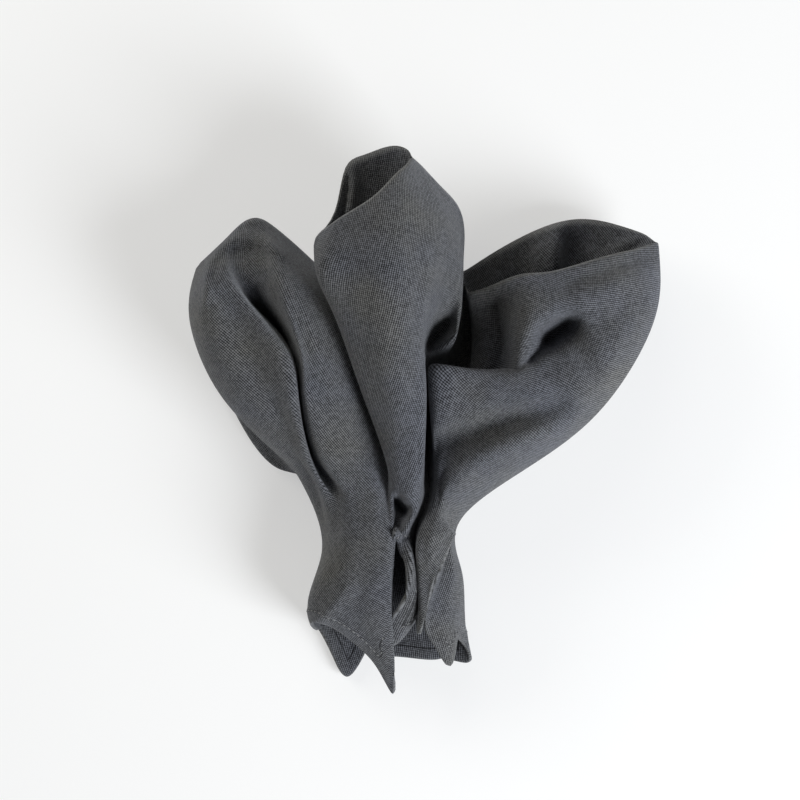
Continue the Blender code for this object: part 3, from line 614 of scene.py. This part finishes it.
def lay_out_weave(outside, walls):
    """For each quad of the grids, the flat places of its four corners."""
    real = to_metres(outside)
    rows, columns = real.shape[:2]
    gather = GATHER * ROWS_PER_SPAN
    corners = np.zeros((rows - 1, columns, 4, 2))
    for cuts, low, high in ((TAIL_CUTS, 0, gather), (LOOP_CUTS, gather, rows - 1)):
        for cut in cuts:
            span = np.arange(round(cut.first * COLUMNS_PER_TURN), round(cut.last * COLUMNS_PER_TURN) + 1)
            piece = real[low:high + 1][:, span % columns]
            flat = unfold_coarsely(piece)
            row = cut.station * ROWS_PER_SPAN - low
            column = cut.turn * COLUMNS_PER_TURN - span[0]
            flat = turned(flat, piece, row, column, cut.angle)
            corners[low:high, span[:-1] % columns] = corner_places(flat)
    inside = []
    for wall in walls:
        places = corner_places(to_metres(wall)[..., :2])
        for cut in MOUTH_CUTS:
            first = round(cut.first * COLUMNS_PER_TURN)
            last = round(cut.last * COLUMNS_PER_TURN)
            piece = to_metres(wall)[:, first:last + 1]
            column = cut.turn * COLUMNS_PER_TURN - first
            flat = turned(unfold_coarsely(piece), piece, cut.station * MOUTH_ROWS, column, cut.angle)
            places[:, first:last] = corner_places(flat)
        inside.append(places)
    return corners, inside


def build_sheet():
    """The sheet's middle surface as a mesh with its weave laid out, and the lines of its seam."""
    outside, walls, front, back = sheet_grid()
    distances, unsewn = hem_distances(outside)
    corners, inside = lay_out_weave(outside, walls)
    rows, columns = outside.shape[:2]
    half = len(front)
    mesh = bmesh.new()
    hem_group = mesh.verts.layers.deform.verify()
    from_hem = mesh.verts.layers.float.new("from_hem")
    sewn = mesh.verts.layers.float.new("sewn")
    rim = mesh.verts.layers.float.new("rim")
    weave = mesh.loops.layers.uv.new("weave")

    def add(points):
        return [[mesh.verts.new(Vector(p)) for p in line] for line in to_metres(points)]

    def quad(vertices, places, flipped):
        if flipped:
            vertices, places = vertices[::-1], places[::-1]
        face = mesh.faces.new(vertices)
        face.smooth = True
        for corner, place in zip(face.loops, places):
            corner[weave].uv = place

    grid = add(outside)
    for r in range(rows - 1):
        for c in range(columns):
            d = (c + 1) % columns
            quad([grid[r][c], grid[r][d], grid[r + 1][d], grid[r + 1][c]], corners[r, c], False)
    for side, wall, places, flipped in zip((front, back), walls, inside, (False, True)):
        inner = add(wall[1:])
        for vertex in itertools.chain(*inner):
            vertex[from_hem] = FAR_FROM_HEM
        lines = [[grid[-1][c] for c in side]] + inner
        depths = np.linalg.norm(to_metres(wall[-1] - wall[0]), axis=-1) / MM
        # Each rim point's share of the painted highlight, full where the mouth's wall is deep.
        for vertex, depth in zip(lines[0], depths):
            vertex[rim] = min(depth / RIM_DEPTH, 1.0)
        for r in range(MOUTH_ROWS):
            for c in range(half - 1):
                a, b = lines[r], lines[r + 1]
                quad([a[c], a[c + 1], b[c + 1], b[c]], places[r, c], flipped)
    for r in range(rows):
        for c in range(columns):
            grid[r][c][from_hem] = distances[r, c]
            grid[r][c][sewn] = 0.0 if unsewn[c] else 1.0
            share = smooth_step((HEM_WIDTH - distances[r, c]) / HEM_STEP + 0.5)
            if share > 0.0:
                grid[r][c][hem_group][0] = float(share)
    bmesh.ops.remove_doubles(mesh, verts=mesh.verts, dist=WELD_GAP)
    bmesh.ops.dissolve_degenerate(mesh, edges=mesh.edges, dist=SLIVER)
    bmesh.ops.recalc_face_normals(mesh, faces=mesh.faces)
    data = bpy.data.meshes.new("cloth")
    mesh.to_mesh(data)
    mesh.free()
    cloth = add_object("cloth", data)
    cloth.vertex_groups.new(name="hem")
    return cloth, seam_lines(outside, distances, unsewn)


def bake_modifiers(thing):
    graph = bpy.context.evaluated_depsgraph_get()
    baked = bpy.data.meshes.new_from_object(
        thing.evaluated_get(graph), preserve_all_data_layers=True, depsgraph=graph
    )
    thing.modifiers.clear()
    thing.data = baked


def press_flat(thing):
    """Raises the sheet's middle surface until its lower face lies on the floor."""
    for vertex in thing.data.vertices:
        hem_share = max([entry.weight for entry in vertex.groups], default=0.0)
        thick = THICKNESS + (HEM_THICKNESS - THICKNESS) * hem_share
        vertex.co.z = max(vertex.co.z, 0.5 * thick * MM)


def place_on_frame(thing):
    """Centres the cloth's box on the CAD node's box, in X and Y."""
    corners = np.array([vertex.co for vertex in thing.data.vertices])
    low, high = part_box(NODE)
    middle = 0.5 * (corners.min(axis=0) + corners.max(axis=0))
    wanted = 0.5 * (np.array(low) + np.array(high))
    shift = Vector((wanted[0] - middle[0], wanted[1] - middle[1], 0.0))
    thing.data.transform(Matrix.Translation(shift))
    return shift


def make_cloth(material):
    cloth, seams = build_sheet()
    soften = cloth.modifiers.new("soften", "SMOOTH")
    soften.factor = SOFTEN_SHARE
    soften.iterations = SOFTEN_ROUNDS
    bake_modifiers(cloth)
    press_flat(cloth)
    thicken = cloth.modifiers.new("thickness", "SOLIDIFY")
    thicken.thickness = HEM_THICKNESS * MM
    thicken.offset = 0.0
    thicken.vertex_group = "hem"
    thicken.thickness_vertex_group = THICKNESS / HEM_THICKNESS
    bake_modifiers(cloth)
    shift = place_on_frame(cloth)
    cloth.data.materials.clear()
    cloth.data.materials.append(material)
    for face in cloth.data.polygons:
        face.use_smooth = True
    return cloth, seam_on_face(cloth, seams, shift)


def seam_on_face(cloth, seams, shift):
    """The seam's lines, moved out onto the cloth's face."""
    places = [vertex.co for vertex in cloth.data.vertices]
    face = BVHTree.FromPolygons(places, [tuple(poly.vertices) for poly in cloth.data.polygons])
    found = []
    for seam in seams:
        line = []
        for point, normal in seam:
            way = Vector(normal)
            start = Vector(point) + shift + way * (FACE_ABOVE * MM)
            place, _, _, _ = face.ray_cast(start, -way, 2.0 * FACE_ABOVE * MM)
            # Where the face is missed, the point goes half a hem's thickness out.
            line.append(place or start - way * ((FACE_ABOVE - 0.5 * HEM_THICKNESS) * MM))
        found.append(line)
    return found


def add_node(tree, kind, **settings):
    node = tree.nodes.new(kind)
    for name, setting in settings.items():
        setattr(node, name, setting)
    return node


def stitch_tree():
    """Stitches of one size at an even pitch along each seam."""
    tree = bpy.data.node_groups.new("seam stitches", "GeometryNodeTree")
    for name, kind in (
        ("Seam", "NodeSocketGeometry"), ("Pitch", "NodeSocketFloat"), ("Length", "NodeSocketFloat"),
        ("Width", "NodeSocketFloat"), ("Thread", "NodeSocketMaterial"),
    ):
        tree.interface.new_socket(name=name, in_out="INPUT", socket_type=kind)
    tree.interface.new_socket(name="Stitches", in_out="OUTPUT", socket_type="NodeSocketGeometry")
    given = add_node(tree, "NodeGroupInput")
    curve = add_node(tree, "GeometryNodeMeshToCurve")
    points = add_node(tree, "GeometryNodeCurveToPoints", mode="LENGTH")
    # A ball 1 across, which the stitch's width and length scale.
    stitch = add_node(tree, "GeometryNodeMeshIcoSphere")
    stitch.inputs["Radius"].default_value = 0.5
    stitch.inputs["Subdivisions"].default_value = STITCH_ROUNDNESS
    size = add_node(tree, "ShaderNodeCombineXYZ")
    placed = add_node(tree, "GeometryNodeInstanceOnPoints")
    joined = add_node(tree, "GeometryNodeRealizeInstances")
    painted = add_node(tree, "GeometryNodeSetMaterial")
    result = add_node(tree, "NodeGroupOutput")
    for giver, out, taker, into in (
        (given, "Seam", curve, "Mesh"),
        (curve, "Curve", points, "Curve"),
        (given, "Pitch", points, "Length"),
        (points, "Points", placed, "Points"),
        (points, "Rotation", placed, "Rotation"),
        (stitch, "Mesh", placed, "Instance"),
        (given, "Width", size, "X"),
        (given, "Width", size, "Y"),
        (given, "Length", size, "Z"),
        (size, "Vector", placed, "Scale"),
        (placed, "Instances", joined, "Geometry"),
        (joined, "Geometry", painted, "Geometry"),
        (given, "Thread", painted, "Material"),
        (painted, "Geometry", result, "Stitches"),
    ):
        tree.links.new(giver.outputs[out], taker.inputs[into])
    return tree


def make_stitches(seams, thread):
    """The stitches of every seam as one piece."""
    points = list(itertools.chain(*seams))
    edges = []
    for seam in seams:
        first = edges[-1][1] + 1 if edges else 0
        edges += [(k, k + 1) for k in range(first, first + len(seam) - 1)]
    data = bpy.data.meshes.new("stitches")
    data.from_pydata(points, edges, [])
    stitches = add_object("stitches", data)
    tree = stitch_tree()
    sewn = stitches.modifiers.new("sewn", "NODES")
    sewn.node_group = tree
    settings = {
        "Pitch": STITCH_PITCH * MM,
        "Length": STITCH_LENGTH * MM,
        "Width": STITCH_WIDTH * MM,
        "Thread": thread,
    }
    for item in tree.interface.items_tree:
        if item.name in settings:
            sewn[item.identifier] = settings[item.name]
    bake_modifiers(stitches)
    return stitches


class Value:
    """A node's output socket. An expression on it adds Math nodes."""

    def __init__(self, tree, socket):
        self.tree = tree
        self.socket = socket

    def math(self, operation, *others):
        return self.tree.node("ShaderNodeMath", {"operation": operation}, self, *others)

    def __add__(self, other):
        return self.math("ADD", other)

    __radd__ = __add__

    def __mul__(self, other):
        return self.math("MULTIPLY", other)

    __rmul__ = __mul__

    def __sub__(self, other):
        return self.math("SUBTRACT", other)

    def __rsub__(self, other):
        return (self * -1.0) + other

    def floor(self):
        return self.math("FLOOR")

    def absolute(self):
        return self.math("ABSOLUTE")

    def sine(self):
        return self.math("SINE")


class Tree:
    """A material's nodes."""

    def __init__(self, name):
        self.material = bpy.data.materials.new(name)
        self.material.use_nodes = True
        self.nodes = self.material.node_tree.nodes
        self.links = self.material.node_tree.links
        self.shader = self.nodes["Principled BSDF"]

    def node(self, kind, settings, *inputs, output=0, **named):
        node = self.nodes.new(kind)
        for name, setting in settings.items():
            setattr(node, name, setting)
        pairs = list(zip(node.inputs, inputs))
        pairs += [(node.inputs[name.replace("_", " ")], value) for name, value in named.items()]
        for socket, value in pairs:
            if value is not None:
                self.feed(socket, value)
        return Value(self, node.outputs[output])

    def feed(self, socket, value):
        if isinstance(value, Value):
            self.links.new(value.socket, socket)
        else:
            socket.default_value = value

    def surface(self, **named):
        for name, value in named.items():
            self.feed(self.shader.inputs[name.replace("_", " ")], value)

    def attribute(self, name):
        return self.node("ShaderNodeAttribute", {"attribute_name": name}, output=2)

    def noise(self, scale, detail=2.0):
        solid = self.node("ShaderNodeTexCoord", {}, output=3)
        return self.node("ShaderNodeTexNoise", {}, Vector=solid, Scale=scale, Detail=detail)

    def mix(self, share, first, second):
        node = self.nodes.new("ShaderNodeMix")
        node.data_type = "RGBA"
        self.feed(node.inputs[0], share)
        self.feed(node.inputs[6], first)
        self.feed(node.inputs[7], second)
        return Value(self, node.outputs[2])

    def parts(self, vector):
        node = self.nodes.new("ShaderNodeSeparateXYZ")
        self.links.new(vector.socket, node.inputs[0])
        return [Value(self, socket) for socket in node.outputs]


# Linear colours of a yarn: in the shade between the crossings, and on its crown where the cloth is bluer
# and where it is greyer.
YARN_SHADE = (0.006, 0.006, 0.007, 1.0)
YARN_BLUE = (0.150, 0.157, 0.182, 1.0)
YARN_GREY = (0.160, 0.160, 0.156, 1.0)
# The seam's groove, the sewing thread and the light on its twist, and a painted highlight on the mouths'
# rims.
SEAM_SHADE = (0.012, 0.012, 0.014, 1.0)
THREAD = (0.110, 0.112, 0.118, 1.0)
THREAD_SHINE = (0.300, 0.300, 0.300, 1.0)
RIM_HIGHLIGHT = (0.300, 0.300, 0.292, 1.0)
# How far the groove's shade reaches from the seam, and the wear from the hem's edge.
SEAM_WIDTH = 0.55
EDGE_WEAR = 1.2
# How much of the cloth's own colour the groove, the wear at the hem's edge and the rims' painted highlight
# cover.
SEAM_COVER = 0.75
WEAR_AND_HIGHLIGHT_COVER = 0.35

# Scales of the noises, per metre: where the threads bend, single fibres, and clouds of tone and hue.
BEND_SCALE = 170.0
FIBRE_SCALE = 2400.0
CLOUD_SCALE = 24.0
TWIST_SCALE = 1500.0
# How far a thread bends aside, in pitches.
BEND = 0.7
# The warp's crown where it lies under the weft, and how much higher it is where it lies over it. The
# weft's where it lies over, and how much lower it is where it lies under.
WARP_UNDER = 0.75
WARP_RISE = 0.25
WEFT_OVER = 0.85
WEFT_DROP = 0.3
# Shares of the weave's height: the upper yarn, both yarns together, and the warp alone.
UPPER_SHARE = 0.4
BOTH_SHARE = 0.4
WARP_SHARE = 0.2
# Keeps the weft's yarns from being the same as the warp's.
WEFT_SEED = 57.0
# Slubs, the thick lengths of a yarn: how far apart neighbouring yarns read their noise, how fast it
# changes along a yarn, the noise above which there is a slub, and how sharply it begins.
SLUB_APART = 3.7
SLUB_ALONG = 0.11
SLUB_ABOVE = 0.66
SLUB_RATE = 9.0
# The tone: the height that has the middle tone, how much the tone follows the height, which paints shade
# into the weave's hollows and light on its crowns, the middle tone, and how much each yarn, crossing,
# fibre, cloud and slub changes it.
TONE_HEIGHT = 0.52
TONE_RATE = 1.55
TONE_MIDDLE = 0.42
YARN_TONE = 0.07
KNOP_TONE = 0.42
FIBRE_TONE = 0.5
CLOUD_TONE = 0.14
SLUB_TONE = 0.22
# The noise above which the cloth begins to be greyer, and how quickly it does.
GREY_ABOVE = 0.35
GREY_RATE = 3.0
# The relief of fibres, crossings and the seam's groove, beside the weave's own of 1. Then the share of
# all this that shows, and its depth in metres.
FIBRE_RELIEF = 0.35
KNOP_RELIEF = 0.35
SEAM_RELIEF = 2.0
RELIEF_SHARE = 0.85
RELIEF_DEPTH = 0.00028
# A dull surface, a little smoother on the crowns, with a thin fuzz that catches the light.
ROUGHNESS = 0.95
CROWN_POLISH = 0.1
SPECULAR = 0.2
SHEEN = 0.22
SHEEN_ROUGHNESS = 0.45
SHEEN_TINT = (0.9, 0.93, 1.0, 1.0)
THREAD_ROUGHNESS = 0.7


def linen():
    """Plain weave: warp and weft pass over each other, each yarn a little unlike the next."""
    tree = Tree("linen")
    places = tree.node("ShaderNodeUVMap", {"uv_map": "weave"})
    across, along, _ = tree.parts(places)
    bend = (tree.noise(BEND_SCALE) - 0.5) * BEND
    u = across * (1.0 / (THREAD_PITCH * MM)) + bend
    v = along * (1.0 / (THREAD_PITCH * MM)) + bend
    warp = (u * math.pi).sine().absolute()
    weft = (v * math.pi).sine().absolute()
    warp_number, weft_number = u.floor(), v.floor()
    over = (warp_number + weft_number).math("FLOORED_MODULO", 2.0)
    warp_top = warp * (WARP_UNDER + over * WARP_RISE)
    weft_top = weft * (WEFT_OVER - over * WEFT_DROP)
    upper = warp_top.math("MAXIMUM", weft_top)
    height = upper * UPPER_SHARE + warp * weft * BOTH_SHARE + warp * WARP_SHARE

    warp_yarn = tree.node("ShaderNodeTexWhiteNoise", {"noise_dimensions": "1D"}, W=warp_number)
    weft_yarn = tree.node("ShaderNodeTexWhiteNoise", {"noise_dimensions": "1D"}, W=weft_number + WEFT_SEED)
    cell = tree.node("ShaderNodeCombineXYZ", {}, warp_number, weft_number)
    knop = tree.node("ShaderNodeTexWhiteNoise", {"noise_dimensions": "2D"}, Vector=cell)
    length = tree.node("ShaderNodeCombineXYZ", {}, warp_number * SLUB_APART, v * SLUB_ALONG)
    slub = tree.node("ShaderNodeTexNoise", {"noise_dimensions": "2D"}, Vector=length, Scale=1.0)
    slub = ((slub - SLUB_ABOVE) * SLUB_RATE).math("MINIMUM", 1.0).math("MAXIMUM", 0.0)
    fibre = tree.noise(FIBRE_SCALE)
    cloud = tree.noise(CLOUD_SCALE, detail=3.0)
    # Painted shade and light: the weave's low places are darker, its crowns lighter.
    crown = (height - TONE_HEIGHT) * TONE_RATE + TONE_MIDDLE
    tone = crown + (warp_yarn + weft_yarn - 1.0) * YARN_TONE + (knop - 0.5) * KNOP_TONE
    tone = tone + (fibre - 0.5) * FIBRE_TONE + (cloud - 0.5) * CLOUD_TONE + slub * SLUB_TONE
    light = tree.mix((cloud - GREY_ABOVE) * GREY_RATE, YARN_BLUE, YARN_GREY)
    colour = tree.mix(tone, YARN_SHADE, light)

    from_hem = tree.attribute("from_hem")
    seam = 1.0 - ((from_hem - SEAM).absolute() * (1.0 / SEAM_WIDTH)).math("MINIMUM", 1.0)
    edge = 1.0 - (from_hem * (1.0 / EDGE_WEAR)).math("MINIMUM", 1.0)
    seam = seam * tree.attribute("sewn")
    colour = tree.mix(seam * SEAM_COVER, colour, SEAM_SHADE)
    colour = tree.mix(edge * WEAR_AND_HIGHLIGHT_COVER, colour, YARN_GREY)
    # The mouths' rims get a painted highlight.
    colour = tree.mix(tree.attribute("rim") * WEAR_AND_HIGHLIGHT_COVER, colour, RIM_HIGHLIGHT)
    relief = height + fibre * FIBRE_RELIEF + knop * KNOP_RELIEF - seam * SEAM_RELIEF
    bump = tree.node("ShaderNodeBump", {}, Strength=RELIEF_SHARE, Distance=RELIEF_DEPTH, Height=relief)
    tree.surface(Base_Color=colour, Normal=bump, Roughness=ROUGHNESS - height * CROWN_POLISH)
    tree.surface(Specular_IOR_Level=SPECULAR, Sheen_Weight=SHEEN)
    tree.surface(Sheen_Roughness=SHEEN_ROUGHNESS, Sheen_Tint=SHEEN_TINT)
    return tree.material


def seam_thread():
    """Twisted sewing thread, a shade lighter than the cloth."""
    tree = Tree("seam thread")
    colour = tree.mix(tree.noise(TWIST_SCALE), THREAD, THREAD_SHINE)
    tree.surface(Base_Color=colour, Roughness=THREAD_ROUGHNESS)
    return tree.material


# The camera looks straight down, and its lengths are in metres. It takes in 800 drawing units, and its
# middle is at (400, 400) in the tables.
FIELD = 800 * UNIT * MM
CAMERA_HEIGHT = 1.6
AIM_HEIGHT = 0.04
VIEW_MIDDLE = (-0.0119, 0.0101)
VIEW_REACH = 50.0
SENSOR = 36.0

# The floor is 8 metres wide and lies this many mm below the cloth.
FLOOR_HALF = 4.0
FLOOR_DROP = 0.3
# The floor glows a little, as a lit table does, so that shadows on it stay light.
FLOOR_PAINT = 0.47
FLOOR_GLOW = 0.46
FLOOR_ROUGHNESS = 0.9


def make_camera():
    data = bpy.data.cameras.new("camera")
    data.sensor_width = SENSOR
    data.lens = SENSOR * CAMERA_HEIGHT / FIELD
    data.clip_end = VIEW_REACH
    camera = add_object("camera", data)
    camera.location = (*VIEW_MIDDLE, AIM_HEIGHT + CAMERA_HEIGHT)
    bpy.context.scene.camera = camera


def make_floor():
    data = bpy.data.meshes.new("floor")
    mesh = bmesh.new()
    bmesh.ops.create_grid(mesh, x_segments=1, y_segments=1, size=FLOOR_HALF)
    mesh.to_mesh(data)
    mesh.free()
    data.transform(Matrix.Translation((0.0, 0.0, -FLOOR_DROP * MM)))
    paint = Tree("pale floor")
    paint.surface(Base_Color=(FLOOR_PAINT, FLOOR_PAINT, FLOOR_PAINT, 1.0), Roughness=FLOOR_ROUGHNESS)
    paint.surface(Emission_Color=(1.0, 1.0, 1.0, 1.0), Emission_Strength=FLOOR_GLOW)
    data.materials.append(paint.material)
    floor = add_object("floor", data)


# Square lamps, by place and width in metres and energy in watts. All of them point at one place.
Lamp = namedtuple("Lamp", "name place size energy colour")
LAMPS = (
    Lamp("key", (1.1, -0.76, 0.87), 0.85, 36.0, (0.94, 0.97, 1.0)),
    Lamp("fill", (-1.1, 0.82, 0.6), 0.8, 10.5, (1.0, 0.98, 0.9)),
    Lamp("back", (-0.3, 1.2, 0.9), 0.8, 3.5, (1.0, 0.98, 0.9)),
)
LAMP_AIM = (0.0, 0.0, 0.03)
# The even light from all round.
AMBIENT = 0.12


def make_lights():
    for lamp in LAMPS:
        data = bpy.data.lights.new(lamp.name, "AREA")
        data.energy = lamp.energy
        data.size = lamp.size
        data.color = lamp.colour
        light = add_object(lamp.name, data)
        light.location = lamp.place
        way = Vector(LAMP_AIM) - Vector(lamp.place)
        light.rotation_euler = way.to_track_quat("-Z", "Y").to_euler()
    world = bpy.data.worlds.new("studio")
    world.use_nodes = True
    sky = world.node_tree.nodes["Background"].inputs
    sky["Color"].default_value = (1.0, 1.0, 1.0, 1.0)
    sky["Strength"].default_value = AMBIENT
    bpy.context.scene.world = world


def main():
    make_camera()
    make_lights()
    make_floor()
    cloth, seams = make_cloth(linen())
    stitches = make_stitches(seams, seam_thread())
    for piece in (cloth, stitches):
        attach(piece, BODY)
        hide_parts(NODE)
    bpy.context.scene.view_settings.view_transform = "Standard"


main()
